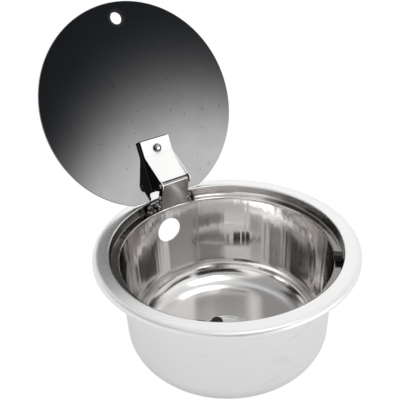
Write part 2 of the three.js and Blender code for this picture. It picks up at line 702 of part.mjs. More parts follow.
// Cup clamped under the floor, with a barbed spigot to one side for the drain hose.
function wasteCup() {
  const wall = CUP_WALL;
  const deep = WASTE_HOLE - 1;
  const shell = turned(
    [
      [boltHole, cupLow], [deep, cupLow], [deep, cupTop - wall],
      [WASTE_RADIUS, cupTop - wall], [WASTE_RADIUS, cupTop], [deep - wall, cupTop],
      [deep - wall, cupLow + wall], [CUP_BOSS, cupLow + wall], [CUP_BOSS, cupTop - wall],
      [boltHole, cupTop - wall],
    ],
    MIDDLE,
  );
  const end = cupLow - SPIGOT_LONG;
  const barb = SPIGOT_RADIUS + BARB;
  const spigot = turned([
    [0, cupLow + wall / 2], [SPIGOT_RADIUS, cupLow + wall / 2],
    [SPIGOT_RADIUS, end + 2 * BARB_PITCH + BARB], [barb, end + 2 * BARB_PITCH],
    [SPIGOT_RADIUS, end + BARB_PITCH + BARB], [barb, end + BARB_PITCH],
    [SPIGOT_RADIUS - BARB, end], [0, end],
  ]);
  const bore = rod(SPIGOT_BORE, end - THROUGH, cupLow + wall + THROUGH);
  const stub = join(shell, moved(spigot, 0, SPIGOT_OFFSET, 0));
  return stub.subtract(moved(bore, 0, SPIGOT_OFFSET, 0));
}

// ---------- assembly ----------

const part = new THREE.Group();
const sink = new THREE.Group(); // drawn from the rim's top face
sink.position.z = LIP_HEIGHT;
part.add(sink);

sink.add(piece("bowl", "bowl_steel", bowl));
sink.add(piece("rim_seal", "rubber", rimSeal));
sink.add(piece("lid_bumper_right", "rubber", bumper(-1)));
sink.add(piece("lid_bumper_left", "rubber", bumper(1)));

sink.add(piece("hinge_base", "hinge_steel", hingeBase()));
sink.add(piece("base_backing_plate", "fastener", backing));
fixings.forEach(([x, y], n) => {
  const low = backingTop - PLATE - GAP;
  const screw = piece(`base_screw_${n + 1}`, "fastener", panScrew());
  const ring = hexNut(NUT_ACROSS, SCREW_RADIUS + FIT, low - NUT_THICK, low);
  const nut = piece(`base_nut_${n + 1}`, "fastener", ring);
  screw.position.set(x, y, 0);
  nut.position.set(x, y, 0);
  sink.add(screw, nut);
});

const pivot = new THREE.Group();
pivot.position.set(0, basePin.x, basePin.y);
sink.add(pivot);
pivot.add(piece("base_pin", "fastener", headedPin(baseOuter)));
pivot.add(piece("base_pin_clip", "fastener", clip(baseOuter)));

const link = new THREE.Group();
link.rotation.x = linkLean;
pivot.add(link);
link.add(piece("hinge_link", "hinge_steel", hingeLink()));
link.add(piece("link_cross_pin", "fastener", moved(rivetedPin(), 0, CROSS_PIN_BACK, CROSS_PIN_UP)));

const lid = new THREE.Group();
lid.position.set(0, openArm.x, openArm.y);
lid.rotation.x = -LID_SWING * RAD;
sink.add(lid);
lid.add(piece("lid_glass", "glass", lidGlass()));
lid.add(piece("hinge_arm", "hinge_steel", hingeArm()));
lid.add(piece("arm_pin", "fastener", headedPin(ARM_HALF)));
lid.add(piece("arm_pin_clip", "fastener", clip(ARM_HALF)));
lid.add(piece("arm_pad", "rubber", pad));
lid.add(piece("screw_spacer", "nylon", atBolt(spacer)));
lid.add(piece("glass_bush", "nylon", atBolt(bush)));
lid.add(piece("arm_washer", "fastener", atBolt(faceWasher)));
lid.add(piece("lid_screw", "fastener", atBolt(bolt())));
lid.add(piece("glass_washer", "rubber", atBolt(glassWasher)));
lid.add(piece("dome_nut", "fastener", atBolt(domeNut())));

sink.add(piece("waste_flange", "bowl_steel", wasteFlange()));
sink.add(piece("waste_seal_upper", "rubber",
  tube(WASTE_HOLE + 2 * GAP, WASTE_RADIUS, wasteSealTop - SEAL, wasteSealTop, MIDDLE)));
sink.add(piece("waste_seal_lower", "rubber",
  tube(WASTE_HOLE + 2 * GAP, WASTE_RADIUS, cupTop + GAP, cupTop + GAP + SEAL, MIDDLE)));
sink.add(piece("waste_cup", "plastic", wasteCup()));
sink.add(piece("waste_screw", "fastener", wasteScrew()));
sink.add(piece("drain_plug", "rubber", drainPlug()));

export default part;
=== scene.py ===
# %% [markdown]
# # A motorhome sink with a glass lid
# A round steel bowl drops into a hole in a worktop and hangs there by its rim. A pane of
# black glass on a folding hinge covers it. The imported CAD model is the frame: it says
# where each piece is and which moving body carries it. Each piece is built again here,
# in the same place and in metres, with the bends and finishes that a solid leaves out.

# %% Load the frame
import json
import math

import bmesh
import bpy
import numpy as np
from mathutils import Matrix, Vector
from mathutils.geometry import tessellate_polygon

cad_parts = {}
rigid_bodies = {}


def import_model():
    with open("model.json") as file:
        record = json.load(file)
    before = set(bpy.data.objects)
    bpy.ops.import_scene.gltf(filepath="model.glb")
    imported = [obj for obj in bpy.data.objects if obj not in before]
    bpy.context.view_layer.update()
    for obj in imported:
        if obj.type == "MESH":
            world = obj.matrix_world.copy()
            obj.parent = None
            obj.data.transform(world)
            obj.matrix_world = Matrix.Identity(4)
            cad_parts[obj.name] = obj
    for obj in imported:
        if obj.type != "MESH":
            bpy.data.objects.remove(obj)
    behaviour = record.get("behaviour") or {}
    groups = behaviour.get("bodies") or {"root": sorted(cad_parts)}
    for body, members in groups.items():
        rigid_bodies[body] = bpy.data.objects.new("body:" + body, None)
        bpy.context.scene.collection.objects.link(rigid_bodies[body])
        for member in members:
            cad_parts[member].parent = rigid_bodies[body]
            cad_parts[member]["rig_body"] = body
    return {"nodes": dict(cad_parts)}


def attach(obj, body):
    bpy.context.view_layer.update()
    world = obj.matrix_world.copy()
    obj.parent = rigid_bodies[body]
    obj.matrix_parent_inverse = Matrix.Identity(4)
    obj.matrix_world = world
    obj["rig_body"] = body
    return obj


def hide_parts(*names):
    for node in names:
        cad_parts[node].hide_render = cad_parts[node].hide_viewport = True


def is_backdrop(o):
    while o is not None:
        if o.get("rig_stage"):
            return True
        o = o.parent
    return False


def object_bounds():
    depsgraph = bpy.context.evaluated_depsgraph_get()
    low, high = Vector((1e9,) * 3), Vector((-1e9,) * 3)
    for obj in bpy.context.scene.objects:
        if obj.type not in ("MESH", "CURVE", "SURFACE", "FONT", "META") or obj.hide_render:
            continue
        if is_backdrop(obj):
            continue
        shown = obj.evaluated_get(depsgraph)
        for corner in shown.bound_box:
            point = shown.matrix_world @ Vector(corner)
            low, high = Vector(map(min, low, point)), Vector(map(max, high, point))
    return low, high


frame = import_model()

cad_low, cad_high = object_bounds()
MM = 0.001
print("CAD nodes:", len(frame["nodes"]))
print("CAD box in mm:", [round((b - a) / MM) for a, b in zip(cad_low, cad_high)])

# %% [markdown]
# ## Sizes
# A sink like this is drawn from its rim, so all heights count from the rim's top face,
# in millimetres, and the finished points go up by the 7 mm that the rim stands over the
# worktop. The other choice, heights over the worktop, puts odd numbers everywhere.

# %% Sizes
LIFT = 7.0  # from the worktop up to the rim's top face
GAUGE = 1.0  # the bowl's sheet
RIM = 194.96  # outer radius
MOUTH = 171.0  # inside radius of the recess, at its top
RECESS = 16.0  # how deep the ledge lies
LEDGE_TOP = 160.0  # radius where the ledge bends down into the wall
WALL_TOP = 157.5
WALL_FOOT = 155.0
DEPTH = 181.5  # down to the edge of the floor
COVE = 45.0  # radius of the bend from the wall to the floor
HOLE_X, HOLE_Z, HOLE_R = -8.0, -58.0, 21.75
SEAT = 186.0  # depth of the step that the waste's flange sits in
WASTE = 42.0  # outer radius of the waste's flange
PLUG_Y = 29.0  # how far behind the middle the plug stands
print(f"rim {2 * RIM:.0f} mm across, bowl {DEPTH} mm deep, wall hole {2 * HOLE_R} mm")

# %% [markdown]
# ## Profiles
# Pressed sheet and turned pieces have one thing in common: a profile says nearly all of
# their shape. A profile here is a row of (radius, z) points, and each bend in it is an
# arc. The back of a sheet is its face moved sideways by the gauge, just as in the press.


# %% Bends and sheet thickness
def arc(cr, cz, radius, start, end, steps):
    """Points (cr + radius cos a, cz + radius sin a), with a from start to end in degrees."""
    a = np.radians(np.linspace(start, end, steps + 1))
    return np.stack([cr + radius * np.cos(a), cz + radius * np.sin(a)], 1).tolist()


def unit(vectors):
    """Each row divided by its own length."""
    return vectors / np.linalg.norm(vectors, axis=1)[:, None]


def offset(line, distance):
    """The line moved along its left-hand normals.

    A point between directions d and e moves along the normal of t = d + e, by
    distance / (t . e), with t at length one, so that straight stretches keep their gap.
    """
    p = np.array(line, float)
    d = unit(np.diff(p, axis=0))
    before = np.vstack([d[:1], d])
    after = np.vstack([d, d[-1:]])
    t = unit(before + after)
    share = np.clip(np.sum(t * after, axis=1), 0.5, 1)
    return p + np.stack([-t[:, 1], t[:, 0]], 1) * (distance / share)[:, None]


print("a sheet's back under two points:", offset([(0, 0), (10, 0)], GAUGE).tolist())

# %% [markdown]
# ## Surfaces of revolution
# A lathe or a spinning press makes rings, so the points are laid out as a grid of rings
# by columns, worked out as whole arrays. Blender's Spin tool would do as well, but a grid
# keeps every point's row known, and the bowl needs that to let a hole into its wall.


# %% Rings
def ring_quads(first, second, steps):
    """Quads between rings that start at points first and second.

    Column j has the corners first + j, first + j + 1, second + j + 1 and second + j,
    and the last column closes the ring.
    """
    j = np.arange(steps)
    n = (j + 1) % steps
    a, b = np.atleast_1d(first)[:, None], np.atleast_1d(second)[:, None]
    return np.stack([a + j, a + n, b + n, b + j], -1).reshape(-1, 4)


def revolve(profile, steps=128, centre=(0.0, 0.0)):
    """The closed profile of (radius, z) turned about z: x = r sin a, y = r cos a."""
    p = np.array(profile, float)
    a = np.linspace(0, 2 * math.pi, steps, endpoint=False)
    x = centre[0] + np.outer(p[:, 0], np.sin(a))
    y = centre[1] + np.outer(p[:, 0], np.cos(a))
    z = np.repeat(p[:, 1:2] + LIFT, steps, axis=1)
    i = np.arange(len(p))
    k = (i + 1) % len(p)
    off_axis = (p[i, 0] != 0) | (p[k, 0] != 0)
    faces = ring_quads(i[off_axis] * steps, k[off_axis] * steps, steps)
    return np.stack([x, y, z], -1).reshape(-1, 3), faces


verts, faces = revolve([(1, 0), (2, 0), (2, 1), (1, 1)], 8)
print("a square ring in 8 steps:", len(verts), "points,", len(faces), "quads")

# %% [markdown]
# ## From points to a piece
# A piece is one mesh object. It rides on the CAD body that moves it, gets its material,
# and hides the CAD nodes that it stands for. Sharp edges are marked by angle, so a bend
# looks smooth and a cut edge looks cut.


# %% Pieces
def tell(obj):
    """Print a piece's name, its number of faces and its size in millimetres."""
    size = np.ptp(np.array([tuple(corner) for corner in obj.bound_box]), axis=0) / MM
    print(f"{obj.name}: {len(obj.data.polygons)} faces, {np.round(size, 1).tolist()} mm")


def add_piece(name, mesh, material, body, nodes):
    """An object for the mesh, with its material and its body; its CAD nodes are hidden."""
    mesh.materials.append(material)
    obj = bpy.data.objects.new(name, mesh)
    bpy.context.scene.collection.objects.link(obj)
    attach(obj, body)
    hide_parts(*nodes)
    return obj


def smooth(mesh, sharp):
    """Smooth shading that breaks at edges sharper than the angle in degrees."""
    mesh.polygons.foreach_set("use_smooth", [True] * len(mesh.polygons))
    mesh.set_sharp_from_angle(angle=math.radians(sharp))


def make(name, verts, faces, material, body, nodes, sharp=35.0, layers=None):
    """A piece from points in millimetres over the worktop and faces of point numbers."""
    faces = faces.tolist() if isinstance(faces, np.ndarray) else faces
    mesh = bpy.data.meshes.new(name)
    mesh.from_pydata((np.asarray(verts, float) * MM).tolist(), [], faces)
    mesh.validate()
    for key, values in (layers or {}).items():
        layer = mesh.attributes.new(key, "FLOAT", "POINT")
        layer.data.foreach_set("value", np.asarray(values, np.float32))
    smooth(mesh, sharp)
    return add_piece(name, mesh, material, body, nodes)


def close_up(obj):
    """Doubled points, such as those on a turning axis, become one, and faces look out."""
    bm = bmesh.new()
    bm.from_mesh(obj.data)
    bmesh.ops.remove_doubles(bm, verts=bm.verts, dist=1e-7)
    bmesh.ops.recalc_face_normals(bm, faces=bm.faces)
    bm.to_mesh(obj.data)
    bm.free()
    return obj


# %% [markdown]
# ## Materials
# Each finish is a Principled shader with a little noise in its roughness or its surface.
# Real metal is never evenly rough, and without the noise its reflections look too clean.
# The noise is laid out in Object coordinates, so that it holds in every pose and from
# every side. A short wrapper makes the node code readable.


# %% A short way to write shader nodes
class Graph:
    """Adds shader nodes to a tree and joins them."""

    def __init__(self, tree):
        self.tree = tree
        tree.nodes.clear()

    def add(self, kind, inputs=None, **settings):
        """A new node of this kind, with its settings made and its inputs joined or set."""
        node = self.tree.nodes.new(kind)
        for key, value in settings.items():
            setattr(node, key, value)
        for key, value in (inputs or {}).items():
            self.put(node.inputs[key], value)
        return node

    def put(self, socket, value):
        """Join the socket to another one, or set its number or colour."""
        if isinstance(value, bpy.types.NodeSocket):
            self.tree.links.new(value, socket)
        else:
            socket.default_value = value

    def math(self, operation, *values):
        """The result of one operation on the values."""
        node = self.add("ShaderNodeMath", operation=operation)
        for n, value in enumerate(values):
            self.put(node.inputs[n], value)
        return node.outputs[0]

    def ramp(self, value, low, high, out_low=0.0, out_high=1.0, smooth=True):
        """out_low where value is at low, out_high where it is at high, blended between."""
        blend = "SMOOTHSTEP" if smooth else "LINEAR"
        node = self.add("ShaderNodeMapRange", interpolation_type=blend)
        keys = ("Value", "From Min", "From Max", "To Min", "To Max")
        for key, v in zip(keys, (value, low, high, out_low, out_high)):
            self.put(node.inputs[key], v)
        return node.outputs[0]

    def noise(self, vector, scale, detail=2.0):
        """Smooth noise between 0 and 1, with more lumps to the metre at a larger scale."""
        inputs = {"Vector": vector, "Scale": scale, "Detail": detail}
        return self.add("ShaderNodeTexNoise", inputs).outputs["Fac"]

    def stretch(self, vector, x, y, z):
        """The coordinates multiplied by a number along each axis."""
        inputs = {0: vector, 1: (x, y, z)}
        return self.add("ShaderNodeVectorMath", inputs, operation="MULTIPLY").outputs[0]

    def attribute(self, name):
        """A number that the mesh keeps on its points."""
        return self.add("ShaderNodeAttribute", attribute_name=name).outputs["Fac"]

    def colour(self, factor, a, b):
        """Colour a where the factor is 0 and colour b where it is 1."""
        node = self.add("ShaderNodeMix", data_type="RGBA")
        self.put(node.inputs["Factor"], factor)
        self.put(node.inputs["A"], (*a, 1.0) if isinstance(a, tuple) else a)
        self.put(node.inputs["B"], (*b, 1.0) if isinstance(b, tuple) else b)
        return node.outputs["Result"]


def finish_of(name, build):
    """A material whose shader is set up by build(graph, shader, object coordinates)."""
    mat = bpy.data.materials.new(name)
    mat.use_nodes = True
    g = Graph(mat.node_tree)
    shader = g.add("ShaderNodeBsdfPrincipled")
    out = g.add("ShaderNodeOutputMaterial")
    mat.node_tree.links.new(shader.outputs[0], out.inputs["Surface"])
    build(g, shader, g.add("ShaderNodeTexCoord").outputs["Object"])
    print(f"{name}: {len(mat.node_tree.nodes)} nodes")
    return mat


# %% [markdown]
# ### Bowl steel
# One sheet, three finishes. The inside is polished on a wheel, which leaves fine rings
# and slow waves round the wall that streak the reflections. The rim is a bit less glossy
# and the outside is left satin, with faint smudges. The recess and the ledge get a
# painted shade, a dark grey that stands for the dark they mirror.
# All of them are in one material, steered by height, radius and two point attributes,
# because a seam between materials would show on a curved sheet.


# %% Bowl steel
POLISHED = (0.8, 0.782, 0.77)
FLOOR_STEEL = (0.74, 0.735, 0.73)
SATIN_STEEL = (0.83, 0.83, 0.825)
SMUDGED = (0.76, 0.76, 0.755)
# painted shade: the dark grey of the recess and the ledge stands for the dark they mirror
PAINTED_RECESS_SHADE = (0.25, 0.24, 0.23)


def bowl_roughness(g, flat, z, where):
    """Low inside, higher on the floor, rim and lip, and highest on the satin outside."""
    smudge = g.noise(where, 9.0, 4.0)
    fall = g.ramp(z, -0.145, -0.172, 0.0, 0.1)
    rim = g.ramp(flat, 0.1695, 0.1715)
    lip = g.ramp(flat, 0.186, 0.19, 0.0, 0.2)
    inside = g.math("ADD", g.ramp(smudge, 0.35, 0.7, 0.08, 0.12), fall)
    inside = g.math("ADD", inside, g.math("ADD", lip, g.math("MULTIPLY", rim, 0.17)))
    return inside, g.ramp(smudge, 0.35, 0.7, 0.34, 0.42), rim


def bowl_finish(g, shader, where):
    """Polished inside with fine turned rings, and satin with faint smudges outside."""
    x, y, z = g.add("ShaderNodeSeparateXYZ", {0: where}).outputs
    flat = g.math("SQRT", g.math("ADD", g.math("MULTIPLY", x, x), g.math("MULTIPLY", y, y)))
    satin = g.attribute("satin")
    inside, outside, rim = bowl_roughness(g, flat, z, where)
    g.put(shader.inputs["Roughness"], g.ramp(satin, 0.0, 1.0, inside, outside, smooth=False))

    inside = g.colour(g.ramp(z, -0.16, -0.173), POLISHED, FLOOR_STEEL)
    inside = g.colour(rim, inside, SATIN_STEEL)
    # painted shade: the recess and the ledge turn dark grey where the attribute says so
    inside = g.colour(g.attribute("painted_shade"), inside, PAINTED_RECESS_SHADE)
    marks = g.ramp(g.noise(g.stretch(where, 30.0, 30.0, 60.0), 1.0, 8.0), 0.55, 0.8)
    outside = g.colour(marks, SATIN_STEEL, SMUDGED)
    g.put(shader.inputs["Base Color"], g.colour(satin, inside, outside))
    shader.inputs["Metallic"].default_value = 1.0

    cosine, sine = g.math("DIVIDE", x, flat), g.math("DIVIDE", y, flat)
    turn = g.add("ShaderNodeCombineXYZ", {0: cosine, 1: sine}).outputs[0]
    rings = g.add("ShaderNodeCombineXYZ", {0: flat, 1: z}).outputs[0]
    wall = g.math("MULTIPLY", g.ramp(z, -0.15, -0.12), g.ramp(z, 0.0, -0.012))
    waves = g.add(
        "ShaderNodeBump",
        {"Height": g.noise(turn, 8.0, 2.0), "Strength": wall, "Distance": 0.9 * MM},
    ).outputs[0]
    grain = g.add(
        "ShaderNodeBump",
        {"Height": g.noise(rings, 500.0, 1.0), "Strength": 0.01, "Distance": 0.2 * MM,
         "Normal": waves},
    ).outputs[0]
    g.put(shader.inputs["Normal"], grain)


STEEL = finish_of("bowl steel", bowl_finish)

# %% [markdown]
# ### Hinge steel and fasteners
# The stampings are brushed along the hinge, so their noise is stretched a lot across it.
# The arm's front faces get a pale copy of the steel, painted light that makes them read
# bright beside the darker cheeks. Pins, nuts and screws are zinc plated, but the screw and
# the washer through the arm get a near black steel, painted shade for the dark they mirror.
# Plain finishes like these differ only in a colour, a pattern and a range of roughness, so
# one function makes them all.


# %% Hinge steel and fasteners
def plain_finish(name, base, rough, pattern, metallic=0.0):
    """Roughness between two values by pattern(graph, coordinates), and one base colour."""

    def build(g, shader, where):
        g.put(shader.inputs["Roughness"], g.ramp(pattern(g, where), 0.3, 0.7, *rough))
        shader.inputs["Base Color"].default_value = (*base, 1)
        if metallic:
            shader.inputs["Metallic"].default_value = metallic

    return finish_of(name, build)


def brushed(g, where):
    """Noise drawn out along the hinge."""
    return g.noise(g.stretch(where, 30.0, 900.0, 900.0), 1.0, 2.0)


def specks_of(scale, detail=2.0):
    """Even noise of one scale."""
    return lambda g, where: g.noise(where, scale, detail)


SHEET = plain_finish("hinge steel", (0.4, 0.39, 0.385), (0.08, 0.14), brushed, 1.0)
# painted light: a pale copy of the steel for the arm's front faces
PAINTED_LIT_FACE = plain_finish("steel with painted light", (0.9, 0.895, 0.885), (0.3, 0.36), brushed, 0.15)
ZINC = plain_finish("bright zinc", (0.66, 0.66, 0.67), (0.18, 0.3), specks_of(260.0), 1.0)
# painted shade: a near black steel for the dark that the screw and washer mirror
SCREW_PAINTED_SHADE = plain_finish("screw steel with painted shade", (0.13, 0.13, 0.135), (0.12, 0.3), specks_of(400.0), 1.0)

# %% [markdown]
# ### Black glass
# The lid is toughened glass with a black mirror coat. A high index of refraction gives
# the mirror, a noise in it gives faint smears, and a second noise gives the few dark
# specks of dust that a photograph of glass always shows. Round the finger hole the edge
# is ground matt, which a point attribute marks.


# %% Black glass
def glass_finish(g, shader, where):
    """Black glass with a mirror coat, faintly smeared, and ground round the finger hole."""
    ground = g.attribute("ground")
    smears = g.ramp(g.noise(where, 26.0, 6.0), 0.35, 0.65, 2.03, 2.08)
    specks = g.ramp(g.noise(where, 95.0, 3.0), 0.67, 0.73, 0.0, 0.3)
    polish = g.ramp(g.noise(where, 14.0, 3.0), 0.35, 0.75, 0.03, 0.06)
    index = g.math("SUBTRACT", smears, specks)
    g.put(shader.inputs["Roughness"], g.ramp(ground, 0.0, 1.0, polish, 0.5, smooth=False))
    g.put(shader.inputs["IOR"], g.ramp(ground, 0.0, 1.0, index, 1.25, smooth=False))
    shader.inputs["Base Color"].default_value = (0.008, 0.009, 0.011, 1)


GLASS = finish_of("black glass", glass_finish)

# %% [markdown]
# ### Rubber and plastics
# Rubber is almost black and matt. Moulded plastic has a finer grain and a little more
# shine, and nylon keeps its natural milky colour.

# %% Rubber and plastics
RUBBER = plain_finish("black rubber", (0.012, 0.012, 0.012), (0.55, 0.75), specks_of(300.0))
NYLON = plain_finish("nylon", (0.72, 0.7, 0.65), (0.4, 0.55), specks_of(200.0))
PLASTIC = plain_finish("black plastic", (0.018, 0.018, 0.019), (0.38, 0.5), specks_of(1500.0, 1.0))

# %% [markdown]
# ## Bowl
# A real bowl is drawn from one disc of sheet. One line therefore runs from the lip over
# the rim, down the recess, along the ledge that the lid rests on, down the wall, round
# the cove and across the floor to the seat of the waste. The wall leans in slightly, as
# it must to leave the press, and the floor falls towards the waste.

# %% The bowl's line
LIP_BEND = 6.4
LIP_END = -6.7
MOUTH_BEND = 2.4
LEDGE_BEND = 2.5
LEDGE_FOOT = 167.5  # where the bend from the recess onto the ledge has its middle
RIM_FLAT = (186, 175)  # radii of the rim's flat face, between its two bends
HIGH_ROWS = (-22.0, -25.0)  # heights of the wall's rows over the hole's patch
PATCH_SPAN = (-28, -88)  # heights where the patch starts and ends
PATCH_ROWS = 16  # rows of the wall that the patch takes up
LOW_SPAN = (-92, -134)  # heights of the rows under it
FLOOR_FALL = 1.5  # over the floor's FLOOR_RUN from the cove to the waste
FLOOR_RUN = 62
FLOOR_SPAN = (100, 48)  # radii of the floor's rings
STEP_RADIUS, STEP_BEND = 47, 1.4  # the bend down into the waste's step
SEAT_RADIUS, SEAT_BEND = 43.6, 1.1  # and the bend at the step's foot


def bowl_line():
    """The face of the sheet as (radius, z), and the rows where the hole's patch starts and ends."""
    wall_top, wall_foot = -RECESS - LEDGE_BEND, COVE - DEPTH
    lean = (WALL_TOP - WALL_FOOT) / (wall_top - wall_foot)
    line = [(RIM, -LIFT), (RIM, LIP_END)]
    line += arc(RIM - LIP_BEND, -LIP_BEND, LIP_BEND, 0, 90, 16)
    line += [(r, 0.0) for r in np.linspace(*RIM_FLAT, 5)]
    line += arc(MOUTH + MOUTH_BEND, -MOUTH_BEND, MOUTH_BEND, 90, 180, 8)
    line += arc(LEDGE_FOOT, LEDGE_BEND - RECESS, LEDGE_BEND, 0, -90, 8)
    line += arc(LEDGE_TOP, wall_top, LEDGE_BEND, 90, 180, 8)
    upper, lower = np.linspace(*PATCH_SPAN, PATCH_ROWS + 1), np.linspace(*LOW_SPAN, 12)
    heights = [*HIGH_ROWS, *upper, *lower]
    first = len(line) + len(HIGH_ROWS)
    line += [(WALL_TOP - lean * (wall_top - z), z) for z in heights]
    cove_middle = WALL_FOOT - COVE
    line += arc(cove_middle, wall_foot, COVE, 0, -90, 30)
    floor = np.linspace(*FLOOR_SPAN, 9)
    line += [(r, -DEPTH - FLOOR_FALL * (cove_middle - r) / FLOOR_RUN) for r in floor]
    line += arc(STEP_RADIUS, -DEPTH - FLOOR_FALL - STEP_BEND, STEP_BEND, 80, 140, 4)
    line += arc(SEAT_RADIUS, SEAT_BEND - SEAT, SEAT_BEND, -45, -90, 3)
    line += [(WASTE - 2, -SEAT), (WASTE - 4.5, -SEAT)]
    return np.array(line), first, first + PATCH_ROWS


print("points on the bowl's line:", len(bowl_line()[0]))

# %% [markdown]
# The line is turned into a grid of rings by columns, once for the face and once for the
# back. A round hole doesn't fit a square grid, so a window of quads is left out of the
# wall, and rings of points lead from the window's square border to the hole's circle.
# A Boolean cut would be shorter to write, but it leaves long thin faces that spoil the
# reflections of polished steel just where the eye goes.


# %% The patch round the hole
BOWL_STEPS = 240
WINDOW = np.arange(-10, 7) % BOWL_STEPS  # columns from one side of the window to the other
RING_SHARES = (0.8, 0.6, 0.42, 0.28, 0.16, 0.07, 0.0)


def patch_rings(border, points, line, first, last):
    """Rings from a square border b to the hole's circle c, on the wall.

    Ring t lies at c + t (b - c) in x and z, and at y = sqrt(r(z)^2 - x^2).
    """
    edge = points[border][:, [0, 2]]
    turn = np.arctan2(edge[:, 1] - HOLE_Z, edge[:, 0] - HOLE_X)
    circle = np.stack([HOLE_X + HOLE_R * np.cos(turn), HOLE_Z + HOLE_R * np.sin(turn)], 1)
    share = np.array(RING_SHARES)[:, None, None]
    x, z = np.moveaxis(circle + share * (edge - circle), -1, 0)
    wall = line[last:first - 1:-1]
    r = np.interp(z, wall[:, 1], wall[:, 0])
    return np.stack([x, np.sqrt(r * r - x * x), z], -1)


print("rings from the window to the hole:", len(RING_SHARES))

# %% [markdown]
# The finish changes along the sheet, and the mesh is the best place to say where: two
# numbers on every point, one for the satin side and one for the painted shade of the
# recess. The material reads them as attributes.


# %% Where the finish and the painted shade change
def bowl_looks(points, satin):
    """Where the sheet is satin, and where the recess and the ledge get a painted shade.

    Behind and to the right of the hinge, from 12 to 72 degrees, the painted shade fades out.
    """
    x, y, z = points.T
    spread = np.hypot(x, y)
    # painted shade on the recess and the ledge, faded out behind and to the right of the hinge
    painted_shade = (spread > WALL_TOP + 0.5) * (spread < MOUTH + 0.1) * (z < -2.0) * (1 - satin)
    angle = np.degrees(np.arctan2(x, y))
    bright = np.clip((angle - 12) / 8, 0, 1) * np.clip((72 - angle) / 14, 0, 1)
    return {"satin": satin, "painted_shade": painted_shade * (1 - bright)}


sample = np.array([[165.0, 0.0, -12.0], [-165.0, 0.0, -12.0], [120.0, 0.0, -100.0]])
print("dull grey at three points:", bowl_looks(sample, np.zeros(3))["painted_shade"].tolist())

# %% [markdown]
# Face, back, the two cut edges, the two patches and the hole's own wall make one closed
# surface. Faces of the back go one way round and faces of the front the other, so that
# all of them point out of the metal.


# %% The whole sheet
def bowl_mesh(steps=BOWL_STEPS):
    """Both sides of the sheet as turned grids, x = r sin a, y = r cos a, with a hole."""
    face, first, last = bowl_line()
    lines = np.stack([face, offset(face, GAUGE)])
    rows = len(face)
    a = np.radians(np.arange(steps) * 360 / steps)
    r, z = lines[..., 0, None], lines[..., 1, None] + 0 * a
    points = np.stack([r * np.sin(a), r * np.cos(a), z], -1).reshape(-1, 3)

    def at(side, i, j):
        return (side * rows + i) * steps + j % steps

    i, j = np.meshgrid(np.arange(rows - 1), np.arange(steps), indexing="ij")
    kept = ~((first <= i) & (i < last) & np.isin(j, WINDOW[:-1]))
    i, j = i[kept], j[kept]
    faces = []
    for side in (0, 1):
        corners = [at(side, i, j), at(side, i, j + 1), at(side, i + 1, j + 1), at(side, i + 1, j)]
        faces.append(np.stack(corners if side else corners[::-1], 1))
    faces.append(ring_quads(at(0, 0, 0), at(1, 0, 0), steps))
    faces.append(ring_quads(at(0, rows - 1, 0), at(1, rows - 1, 0), steps)[:, ::-1])

    inner = []
    count = len(points)
    down = np.arange(first + 1, last)
    stacks, satin = [points], [np.repeat([0.0, 1.0], rows * steps)]
    for side in (0, 1):
        border = np.concatenate([
            at(side, first, WINDOW), at(side, down, WINDOW[-1]),
            at(side, last, WINDOW[::-1]), at(side, down[::-1], WINDOW[0]),
        ])
        rings = patch_rings(border, points, lines[side], first, last)
        n = len(border)
        numbers = count + np.arange(len(rings) * n).reshape(-1, n)
        chain = np.vstack([border, numbers])
        ahead = np.roll(chain, -1, axis=1)
        quads = np.stack([chain[:-1], ahead[:-1], ahead[1:], chain[1:]], -1).reshape(-1, 4)
        faces.append(quads if side else quads[:, ::-1])
        stacks.append(rings.reshape(-1, 3))
        satin.append(np.full(rings.shape[0] * n, float(side)))
        inner.append(numbers[-1])
        count += len(rings) * n
    near, far = inner
    faces.append(np.stack([near, np.roll(near, -1), np.roll(far, -1), far], 1))
    points, satin = np.concatenate(stacks), np.concatenate(satin)
    return points + (0, 0, LIFT), np.concatenate(faces), bowl_looks(points, satin)


verts, faces, looks = bowl_mesh()
tell(make("bowl_shell", verts, faces, STEEL, "root", ["bowl"], 40, looks))

# %% [markdown]
# ## Seal, waste and plug
# The seal under the rim, the waste with its flange, gaskets and screw, and the plug are
# all turned shapes, so each one is a closed profile and a call. Small radii on the
# corners catch the light as the real ones do.

# %% Heights of the waste
FLANGE_LOW = -SEAT + 2.1
FLANGE_TOP = FLANGE_LOW + 1.5
CUP_TOP = -SEAT - GAUGE - 2.1
CUP_LOW = CUP_TOP - 16
SPIGOT_END = CUP_LOW - 32
SPIGOT_Y = 18.0
SEAL_TALL = 1.5
print(f"waste flange {-FLANGE_TOP:.1f} mm and spigot's end {-SPIGOT_END:.1f} mm below the rim")

# %% [markdown]
# Each profile below goes once round the cut section of its piece, starting at the middle
# or the inside. The plug stands beside the middle of the waste and lifts out on its own.


# %% Rim seal, waste and plug
def turned(name, profile, material, body, node, centre=(0.0, 0.0), steps=96):
    """A piece of revolution that stands for one CAD node."""
    verts, faces = revolve(profile, steps, centre)
    obj = close_up(make(name, verts, faces, material, body, [node], 32))
    tell(obj)
    return obj


